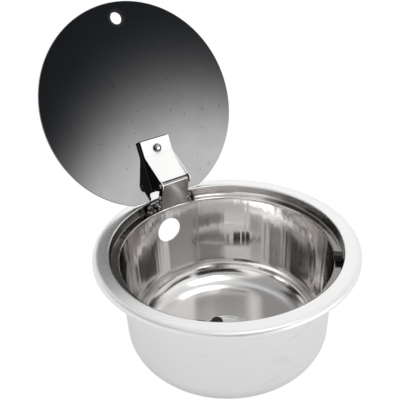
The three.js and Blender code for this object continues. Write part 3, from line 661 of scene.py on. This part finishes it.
turned(
    "rim_gasket",
    [(178, -6.6), (178.4, -7), (190.6, -7), (191, -6.6), (191, -1.7), (190.6, -1.3)]
    + [(178.4, -1.3), (178, -1.7)],
    RUBBER, "root", "rim_seal", steps=160,
)
turned(
    "waste_dish",
    [(3.2, FLANGE_LOW - 0.6), (33.5, FLANGE_LOW - 0.6), (35.5, FLANGE_LOW)]
    + [(WASTE - 0.2, FLANGE_LOW), (WASTE, FLANGE_LOW + 0.2)]
    + arc(WASTE - 1.4, FLANGE_TOP - 0.6, 1.4, 0, 150, 8)
    + [(WASTE - 3.4, FLANGE_TOP - 0.1), (3.2, FLANGE_TOP)],
    STEEL, "root", "waste_flange",
)
turned(
    "waste_screw_head",
    [(0, CUP_LOW + 2.2), (2.9, CUP_LOW + 2.2), (2.9, FLANGE_TOP + 0.3), (5, FLANGE_TOP + 0.3)]
    + [(5.2, FLANGE_TOP + 0.6), (4.6, FLANGE_TOP + 1.7), (3.2, FLANGE_TOP + 2.2)]
    + [(0, FLANGE_TOP + 2.5)],
    ZINC, "root", "waste_screw", steps=40,
)
turned(
    "plug_body",
    [(0, FLANGE_LOW - 2.9), (6, FLANGE_LOW - 2.9), (7.1, FLANGE_TOP - 0.3)]
    + [(7.1, FLANGE_TOP + 0.35), (9.6, FLANGE_TOP + 0.35), (9.95, FLANGE_TOP + 0.8)]
    + [(9.95, FLANGE_TOP + 5)]
    + arc(6.6, FLANGE_TOP + 7.5, 3.2, -10, 90, 8) + [(0, FLANGE_TOP + 11.2)],
    RUBBER, "plug", "drain_plug", centre=(0.0, PLUG_Y), steps=64,
)
for name, node, top in (
    ("seal_ring_upper", "waste_seal_upper", -SEAT + 1.8),
    ("seal_ring_lower", "waste_seal_lower", CUP_TOP + 1.8),
):
    turned(
        name,
        [(38.1, top - 1.3), (38.4, top - SEAL_TALL), (41.6, top - SEAL_TALL)]
        + [(41.9, top - 1.3), (41.9, top - 0.2), (41.6, top), (38.4, top), (38.1, top - 0.2)],
        RUBBER, "root", node,
    )

# %% [markdown]
# The cup under the floor is moulded in one with its barbed spigot. The spigot stands
# beside the middle, so it is a second piece of revolution about its own line, and the
# two shells together are one piece.


# %% Waste cup and spigot
def cup_mesh():
    """The cup, turned about z, and the barbed spigot, turned about its own line beside it."""
    cup = [(3.2, CUP_LOW), (35.7, CUP_LOW), (36.5, CUP_LOW + 0.8), (36.5, CUP_TOP - 2)]
    cup += [(WASTE - 0.3, CUP_TOP - 2), (WASTE, CUP_TOP - 1.7)]
    cup += [(WASTE, CUP_TOP - 0.2), (WASTE - 0.2, CUP_TOP)]
    cup += [(34.5, CUP_TOP), (34.5, CUP_LOW + 2), (8, CUP_LOW + 2), (8, CUP_TOP - 2)]
    cup += [(3.2, CUP_TOP - 2)]
    end = SPIGOT_END
    tube = [(8, CUP_LOW + 2), (10, CUP_LOW + 1), (10, end + 14.8), (10.75, end + 14)]
    tube += [(10, end + 7.8), (10.75, end + 7), (9.2, end), (8, end)]
    a, a_faces = revolve(cup, 96)
    b, b_faces = revolve(tube, 64, (0.0, SPIGOT_Y))
    return np.vstack([a, b]), np.vstack([a_faces, b_faces + len(a)])


verts, faces = cup_mesh()
tell(close_up(make("waste_body", verts, faces, PLASTIC, "root", ["waste_cup"], 32)))

# %% [markdown]
# ## Glass lid
# The pane is cut from flat glass: a circle, cut off straight at the back, with a notch
# that clears the hinge, a finger hole at the front and a small hole for the screw. All
# of its edges are ground round. It is easiest to draw lying flat, so it is, and then it
# is tilted about the arm's pin to where the open lid stands.

# %% The lid's place
PIN = np.array([0.0, 139.5955, 47.0356])
TILT = math.radians(-115.6)
LID = Matrix.Translation(Vector(PIN * MM)) @ Matrix.Rotation(TILT, 4, "X")
PANE_Y = -133.0  # the pane's middle, from the arm's pin
PANE_LOW, PANE_HIGH = 38.0, 43.0
PANE_R, PANE_CHORD, NOTCH_HALF, NOTCH_Y = 166.85, 155.0, 31.0, 143.0
FINGER_Y, FINGER_R = PANE_Y - 141.5, 10
SCREW_Y, SCREW_HOLE_R = -58.5, 4.9
GROUND_EDGE = 0.6
GROUND_RING = 3.6  # matt band round the finger hole
print(f"the pane is {2 * PANE_R:.1f} mm across and {PANE_HIGH - PANE_LOW:.0f} mm thick")

# %% [markdown]
# The straight back edge is where the lid would meet the hinge, and the notch lets the
# hinge's base through when the lid is shut. Cut glass never has a sharp inner corner, so
# the corners are arcs of 2 and 3 mm.


# %% The lid's outline
def rounded(points, radii, steps=6):
    """A polygon in which each corner with a radius becomes an arc.

    With unit vectors u and v along the corner's sides and h half the angle between them,
    the arc's middle lies radius / sin h from the corner along u + v, and the arc starts
    and ends radius / tan h along the sides.
    """
    p, radii = np.array(points, float), np.array(radii, float)
    corners = np.flatnonzero(radii)
    r, b = radii[corners], p[corners]
    u, v = unit(p[corners - 1] - b), unit(p[(corners + 1) % len(p)] - b)
    half = np.arccos(np.clip((u * v).sum(1), -1, 1)) / 2
    reach = (r / np.tan(half))[:, None]
    middle = b + unit(u + v) * (r / np.sin(half))[:, None]
    s, e = b + u * reach - middle, b + v * reach - middle
    angle = np.arctan2(s[:, 0] * e[:, 1] - s[:, 1] * e[:, 0], (s * e).sum(1))
    t = np.linspace(0, angle, steps + 1, axis=-1)
    x = s[:, :1] * np.cos(t) - s[:, 1:] * np.sin(t)
    y = s[:, :1] * np.sin(t) + s[:, 1:] * np.cos(t)
    arcs = middle[:, None] + np.stack([x, y], -1)
    stretches = np.split(p, corners)
    out = [stretches[0]]
    for bend, rest in zip(arcs, stretches[1:]):
        out += [bend, rest[1:]]
    return np.concatenate(out)


def lid_outline():
    """The glass seen from above, counter-clockwise: (R cos a, R sin a) and the notch."""
    start = math.asin(PANE_CHORD / PANE_R)
    a = np.linspace(math.pi - start, 2 * math.pi + start, 240)
    circle = np.stack([PANE_R * np.cos(a), PANE_R * np.sin(a)], 1)
    notch = [(NOTCH_HALF, PANE_CHORD), (NOTCH_HALF, NOTCH_Y)]
    notch += [(-NOTCH_HALF, NOTCH_Y), (-NOTCH_HALF, PANE_CHORD)]
    radii = np.zeros(len(circle) + len(notch))
    radii[[0, len(circle) - 1]] = 2
    radii[len(circle):] = 3
    return rounded(np.vstack([circle, notch]), radii) + (0, PANE_Y)


def hole_outline(x, y, radius, steps=64):
    """A circle of points, clockwise: (x + r cos a, y + r sin a), with a falling."""
    a = -np.linspace(0, 2 * math.pi, steps, endpoint=False)
    return np.stack([x + radius * np.cos(a), y + radius * np.sin(a)], 1)


loops = [
    lid_outline(),
    hole_outline(0, FINGER_Y, FINGER_R),
    hole_outline(0, SCREW_Y, SCREW_HOLE_R, 40),
]
print("points in the lid's outlines:", [len(loop) for loop in loops])

# %% [markdown]
# Every outline gets the same quarter-round edge: the outline moved inwards by
# edge (1 - sin a) at a height of edge (1 - cos a), for a from 0 to 90 degrees, and the
# same again upside down. The flats between the outlines are filled with triangles. That
# is fine for glass, because they all lie in one plane.


# %% The pane
def inward(loop, distance):
    """The closed loop moved to its left by distance."""
    d = unit(np.roll(loop, -1, 0) - loop)
    t = unit(d + np.roll(d, 1, 0))
    return loop + np.stack([-t[:, 1], t[:, 0]], 1) * distance


def at_height(loop, z):
    """A loop of (x, y) points with one z."""
    return np.column_stack([loop, np.full(len(loop), z)])


def flat_cap(rims, start, up):
    """Triangles that fill the flat between the rims, whose points start at a number."""
    points = np.concatenate(rims)
    tri = np.array(tessellate_polygon([[Vector(p) for p in rim] for rim in rims]))
    a, b, c = (points[tri[:, k]] for k in range(3))
    turn = (b[:, 0] - a[:, 0]) * (c[:, 1] - a[:, 1]) - (b[:, 1] - a[:, 1]) * (c[:, 0] - a[:, 0])
    return start + np.where(((turn > 0) == up)[:, None], tri, tri[:, ::-1])


def plate(loops, low, high, edge, borders, steps=4):
    """A flat plate between two heights with a quarter-round edge on every loop.

    A loop's border is the width of flat that follows its edge in a band of faces of its
    own, and the points of that band are marked as ground.
    """
    a = np.linspace(0, math.pi / 2, steps + 1)
    bend = np.stack([edge * (1 - np.sin(a)), edge * (1 - np.cos(a))], 1)
    plain = np.vstack([bend + (0, low), bend[::-1] * (1, -1) + (0, high)])
    stacks, faces, ground, count = [], [], [], 0
    for loop, border in zip(loops, borders):
        band = [(edge + border, low)], [(edge + border, high)]
        levels = np.vstack([band[0], plain, band[1]]) if border else plain
        stacks += [at_height(inward(loop, d), z) for d, z in levels]
        starts = count + np.arange(len(levels)) * len(loop)
        faces += ring_quads(starts[:-1], starts[1:], len(loop)).tolist()
        ground.append(np.full(len(levels) * len(loop), float(border > 0)))
        count += len(levels) * len(loop)
    for z in (low, high):
        rims = [at_height(inward(p, edge + b), z) for p, b in zip(loops, borders)]
        faces += flat_cap(rims, count, z == high).tolist()
        stacks += rims
        size = sum(len(rim) for rim in rims)
        ground.append(np.zeros(size))
        count += size
    return np.concatenate(stacks), faces, {"ground": np.concatenate(ground)}


verts, faces, looks = plate(loops, PANE_LOW, PANE_HIGH, GROUND_EDGE, (0, GROUND_RING, 0))
verts = verts @ np.array(LID.to_3x3()).T + PIN
tell(make("lid_pane", verts, faces, GLASS, "lid", ["lid_glass"], 60, looks))

# %% [markdown]
# ## Hinge and fixings
# The stampings, pins and nuts are small and exact, and the CAD already has every bend of
# them. So each one is a copy of its node's mesh: doubled points merged, flat faces
# joined, and every edge given the small radius that stamping leaves. Weighted normals
# keep the large faces flat, so that only the edges catch the light.


# %% Copies with softened edges
def dressed(node, name, material, radius, sharp=33.0):
    """A copy of a CAD node with its edges rounded to the radius in millimetres."""
    source = frame["nodes"][node]
    bm = bmesh.new()
    bm.from_mesh(source.data)
    bmesh.ops.remove_doubles(bm, verts=bm.verts, dist=2e-6)
    bmesh.ops.dissolve_limit(bm, angle_limit=math.radians(0.6), verts=bm.verts, edges=bm.edges)
    if radius:
        pairs = (e for e in bm.edges if len(e.link_faces) == 2)
        edges = [e for e in pairs if e.calc_face_angle(0) > math.radians(sharp)]
        bmesh.ops.bevel(
            bm, geom=edges, offset=radius * MM, segments=2, profile=0.5, affect="EDGES",
            clamp_overlap=True,
        )
    mesh = bpy.data.meshes.new(name)
    bm.to_mesh(mesh)
    bm.free()
    smooth(mesh, 50)
    obj = add_piece(name, mesh, material, source["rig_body"], [node])
    level = obj.modifiers.new("flat faces first", "WEIGHTED_NORMAL")
    level.keep_sharp = True
    level.weight = 100
    tell(obj)
    return obj


dressed("hinge_base", "base_stamping", SHEET, 0.25)
dressed("hinge_link", "link_stamping", SHEET, 0.25)

# %% [markdown]
# The arm's cheeks keep the polished steel of the rest. Its faces that look towards the
# front get the second material, a pale copy of the steel: painted light that makes them
# read bright.

# %% Arm and backing plate
arm = dressed("hinge_arm", "arm_stamping", SHEET, 0.3)
arm.data.materials.append(PAINTED_LIT_FACE)
normals = np.empty(3 * len(arm.data.polygons))
arm.data.polygons.foreach_get("normal", normals)
normals = normals.reshape(-1, 3)
# faces towards the front take the pale copy, painted light
front = (normals[:, 1] < -0.3) & (abs(normals[:, 0]) < 0.5)
arm.data.polygons.foreach_set("material_index", front.astype(np.int32))
print("satin faces on the arm:", int(front.sum()))
dressed("base_backing_plate", "backing_strip", ZINC, 0.2)

# %% [markdown]
# ## Bumpers
# Two rubber blocks sit on the ledge, so that the glass doesn't land on steel. A block
# with well rounded edges is all they are. The left one is kept narrow, because the
# photograph shows none there.

# %% Bumpers
BUMPER_WIDE, BUMPER_TALL = 12, 10.4
BUMPER_MIDDLE = -3.5  # its height over the worktop
BUMPER_OUT = 168.2


def bumper(side, angle, inner):
    """A rubber block from the inner radius outwards, turned about z from the hinge."""
    size = Matrix.Diagonal((BUMPER_WIDE, BUMPER_OUT - inner, BUMPER_TALL, 1.0))
    place = Matrix.Translation((0, (inner + BUMPER_OUT) / 2, BUMPER_MIDDLE))
    turn = Matrix.Rotation(math.radians(angle), 4, "Z")
    bm = bmesh.new()
    bmesh.ops.create_cube(bm, size=1.0, matrix=place @ size)
    bmesh.ops.bevel(bm, geom=bm.edges[:], offset=1.2, segments=3, profile=0.5, affect="EDGES")
    bmesh.ops.transform(bm, matrix=Matrix.Scale(MM, 4) @ turn, verts=bm.verts)
    mesh = bpy.data.meshes.new(f"bumper_block_{side}")
    bm.to_mesh(mesh)
    bm.free()
    smooth(mesh, 60)
    tell(add_piece(mesh.name, mesh, RUBBER, "root", [f"lid_bumper_{side}"]))


bumper("right", -134, 155.2)
bumper("left", 134, 164.8)

# %% [markdown]
# ## Pins, nuts and the stack at the screw
# Every fastener is its own piece, and so is each washer, bush and pad of the stack that
# clamps the glass to the arm.

# %% Pins and nuts
for n in (1, 2, 3, 4):
    dressed(f"base_screw_{n}", f"pan_screw_{n}", ZINC, 0.1)
    dressed(f"base_nut_{n}", f"hex_nut_{n}", ZINC, 0.1)
for node, name in (
    ("base_pin", "pin_low"), ("base_pin_clip", "clip_low"), ("link_cross_pin", "pin_cross"),
    ("arm_pin", "pin_high"), ("arm_pin_clip", "clip_high"), ("dome_nut", "nut_dome"),
):
    dressed(node, name, ZINC, 0.1)
# painted shade: the washer takes the near black steel
dressed("arm_washer", "washer_steel", SCREW_PAINTED_SHADE, 0.2)

# %% [markdown]
# The screw's head has a sunk ring round a raised crown, which shows in the photograph as
# a dark ring with a bright middle. Two insets of its front face make the ring and the
# crown, and the crown gets the paler zinc, a painted highlight.

# %% Screw with a crown
# painted shade: the screw takes the near black steel
screw = dressed("lid_screw", "screw_hex", SCREW_PAINTED_SHADE, 0.25)
screw.data.materials.append(ZINC)
bm = bmesh.new()
bm.from_mesh(screw.data)
crown = max((f for f in bm.faces if f.normal.y < -0.3), key=lambda f: f.calc_area())
bmesh.ops.inset_region(bm, faces=[crown], thickness=2.2 * MM, depth=-0.7 * MM)
bmesh.ops.inset_region(bm, faces=[crown], thickness=0.3 * MM, depth=0.6 * MM)
# painted highlight: the crown takes the paler zinc
crown.material_index = 1
bm.to_mesh(screw.data)
bm.free()
tell(screw)

# %% [markdown]
# Steel never touches glass: a rubber pad lies between arm and pane, a soft washer lies
# under the nut, and a nylon bush lines the hole.

# %% Pad, washers, spacer and bush
dressed("arm_pad", "pad_strip", RUBBER, 0.1)
dressed("glass_washer", "washer_soft", RUBBER, 0.1)
dressed("screw_spacer", "spacer_ring", NYLON, 0.1)
dressed("glass_bush", "bush_ring", NYLON, 0)

# %% [markdown]
# ## The room
# Polished steel has hardly any colour of its own: what it shows is the room. To the
# camera the background is plain white. To a mirrored ray the room is bright, with the
# screens of a product studio laid over it by direction: a grey one to the left behind, a
# grey one to the right, a white one in front on the right, a black one in front with a
# dim band over it, and a glow that fades upwards, which is what the open lid mirrors.
# Only rays that bounced off something glossy see them, so the light on the object stays
# plain.

# %% The room
scene = bpy.context.scene
world = bpy.data.worlds.new("room")
scene.world = world
world.use_nodes = True
world.cycles.sampling_method = "NONE"
g = Graph(world.node_tree)
away = g.add("ShaderNodeTexCoord").outputs["Generated"]
dx, dy, dz = g.add("ShaderNodeSeparateXYZ", {0: away}).outputs
PLAIN_LIGHT = 1.05


def patch(under, value, *masks):
    """The value laid over what is under it, by the product of its masks."""
    mask = masks[0]
    for more in masks[1:]:
        mask = g.math("MULTIPLY", mask, more)
    return g.ramp(mask, 0.0, 1.0, under, value, smooth=False)


print("strength of the light on matt surfaces:", PLAIN_LIGHT)

# %% [markdown]
# Each screen is a patch with soft edges, given by ranges of the direction's x, y and z.
# The ranges were found by following mirrored rays from the camera off the steel.

# %% Screens of the studio
room = g.ramp(dz, 0.6, 0.9, 1.1, 0.85)
room = patch(
    room, 0.42, g.ramp(dx, -0.1, -0.35), g.ramp(dz, 0.35, 0.55), g.ramp(dy, -0.25, -0.05)
)
room = patch(room, 0.5, g.ramp(dx, 0.6, 0.75), g.ramp(dy, 0.1, -0.15), g.ramp(dz, 0.35, 0.5))
room = patch(room, 1.05, g.ramp(dy, -0.2, -0.4), g.ramp(dx, 0.1, 0.25), g.ramp(dz, 0.85, 0.7))
left, right = g.ramp(dx, -0.72, -0.6), g.ramp(dx, 0.14, 0.02)
low, high = g.ramp(dz, 0.1, 0.3), g.ramp(dz, 0.71, 0.67)
room = patch(room, 0.01, g.ramp(dy, -0.05, -0.2), left, right, high, low)
low, high = g.ramp(dz, 0.73, 0.75), g.ramp(dz, 0.81, 0.79)
room = patch(room, 0.1, g.ramp(dy, -0.2, -0.35), left, right, high, low)
print("nodes in the room so far:", len(world.node_tree.nodes))

# %% [markdown]
# The lid's glow falls off as base + top exp(-k d^2), where d is how far a direction lies
# over a curved line, dz + bow (dx - middle)^2 = start. The curve bends the shade on the
# glass as the photograph has it.

# %% What the lid mirrors
GLOW_BASE, GLOW_TOP, GLOW_K = 0.02, 3.9, 110.0
GLOW_MIDDLE, GLOW_BOW, GLOW_START = 0.415, 3.1, 0.324
aside = g.math("SUBTRACT", dx, GLOW_MIDDLE)
reach = g.math("ADD", dz, g.math("MULTIPLY", g.math("MULTIPLY", aside, aside), GLOW_BOW))
fade = g.math("MAXIMUM", g.math("SUBTRACT", reach, GLOW_START), 0.0)
fade = g.math("POWER", math.e, g.math("MULTIPLY", g.math("MULTIPLY", fade, fade), -GLOW_K))
lid_view = g.math("ADD", GLOW_BASE, g.math("MULTIPLY", fade, GLOW_TOP))
room = patch(
    room, lid_view, g.ramp(dy, -0.2, -0.4), g.ramp(dx, 0.1, 0.22), g.ramp(dx, 0.75, 0.62),
    g.ramp(dz, 0.63, 0.585),
)
path = g.add("ShaderNodeLightPath")
level = g.ramp(path.outputs["Is Glossy Ray"], 0.0, 1.0, PLAIN_LIGHT, room, smooth=False)
level = g.ramp(path.outputs["Is Camera Ray"], 0.0, 1.0, level, 1.0, smooth=False)
shade = g.add("ShaderNodeBackground", {"Color": (1, 1, 1, 1), "Strength": level})
out = g.add("ShaderNodeOutputWorld")
world.node_tree.links.new(shade.outputs[0], out.inputs["Surface"])
print("nodes in the room:", len(world.node_tree.nodes))

# %% [markdown]
# ## Floor and lamp
# The floor lies just under the spigot. The camera sees it as plain white, and everything
# else sees a pale matt floor. One large soft lamp overhead adds a gentle highlight.

# %% Floor
FLOOR_HALF = 6.0
FLOOR_Z = cad_low[2] - 0.1 * MM
a, z = FLOOR_HALF, FLOOR_Z
floor_mesh = bpy.data.meshes.new("floor")
floor_mesh.from_pydata([(-a, -a, z), (a, -a, z), (a, a, z), (-a, a, z)], [], [(0, 1, 2, 3)])
floor = bpy.data.objects.new("floor", floor_mesh)
scene.collection.objects.link(floor)
floor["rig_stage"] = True
pale = bpy.data.materials.new("pale floor")
pale.use_nodes = True
g = Graph(pale.node_tree)
paint = g.add("ShaderNodeBsdfDiffuse", {"Color": (0.78, 0.78, 0.78, 1)})
glow = g.add("ShaderNodeEmission", {"Color": (1, 1, 1, 1), "Strength": 1.0})
seen = g.add("ShaderNodeLightPath").outputs["Is Camera Ray"]
mix = g.add("ShaderNodeMixShader", {0: seen, 1: paint.outputs[0], 2: glow.outputs[0]})
out = g.add("ShaderNodeOutputMaterial")
pale.node_tree.links.new(mix.outputs[0], out.inputs["Surface"])
floor_mesh.materials.append(pale)
print(f"the floor lies {(cad_low[2] - FLOOR_Z) / MM:.1f} mm under the spigot")

# %% [markdown]
# An area lamp is the plainest soft light there is. A large one close by would wash the
# steel out, so it is weak and far away, and the room does most of the lighting.

# %% Lamp
LAMP_PLACE, LAMP_SIZE, LAMP_POWER = (0.1, -0.7, 1.8), (1.0, 0.8), 5
lamp = bpy.data.lights.new("overhead", "AREA")
lamp.shape = "RECTANGLE"
lamp.size, lamp.size_y = LAMP_SIZE
lamp.energy = LAMP_POWER
overhead = bpy.data.objects.new("overhead", lamp)
overhead.location = LAMP_PLACE
overhead.rotation_euler = (-Vector(LAMP_PLACE)).to_track_quat("-Z", "Y").to_euler()
scene.collection.objects.link(overhead)
overhead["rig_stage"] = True
print("the lamp gives", LAMP_POWER, "W from", LAMP_PLACE)

# %% [markdown]
# ## Camera
# The rim, the recess and the lid are circles, and the photograph shows them as ellipses.
# Fitting those ellipses gave the camera's place, its direction, its small roll and its
# focal length of 597.8 pixels in a frame 400 pixels wide.

# %% Camera
FRAME_PIXELS, FOCAL_PIXELS, SENSOR = 400, 597.8, 36
EYE = Vector((-0.4145, -0.5956, 0.5058))
forward = Vector((0.4581, 0.7305, -0.5064)).normalized()
right = Vector((0.8472, -0.5313, 0.0)).normalized()
up = right.cross(forward)
roll = math.radians(-2.53)
right, up = (
    right * math.cos(roll) + up * math.sin(roll),
    up * math.cos(roll) - right * math.sin(roll),
)
camera = bpy.data.objects.new("camera", bpy.data.cameras.new("camera"))
camera.data.sensor_width = SENSOR
camera.data.lens = FOCAL_PIXELS / FRAME_PIXELS * SENSOR
camera.data.clip_start = 0.01
turn = Matrix((right, up, -forward)).transposed()
camera.matrix_world = Matrix.Translation(EYE) @ turn.to_4x4()
scene.collection.objects.link(camera)
scene.camera = camera
scene.view_settings.view_transform = "Standard"
print(f"the lens is {camera.data.lens:.1f} mm")

# %% [markdown]
# ## Finish
# Here the visual model's box is printed, as the CAD model's box was at the start.

# %% Size of the visual model
low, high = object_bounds()
print("visual box in mm:", [round((b - a) / MM) for a, b in zip(low, high)])
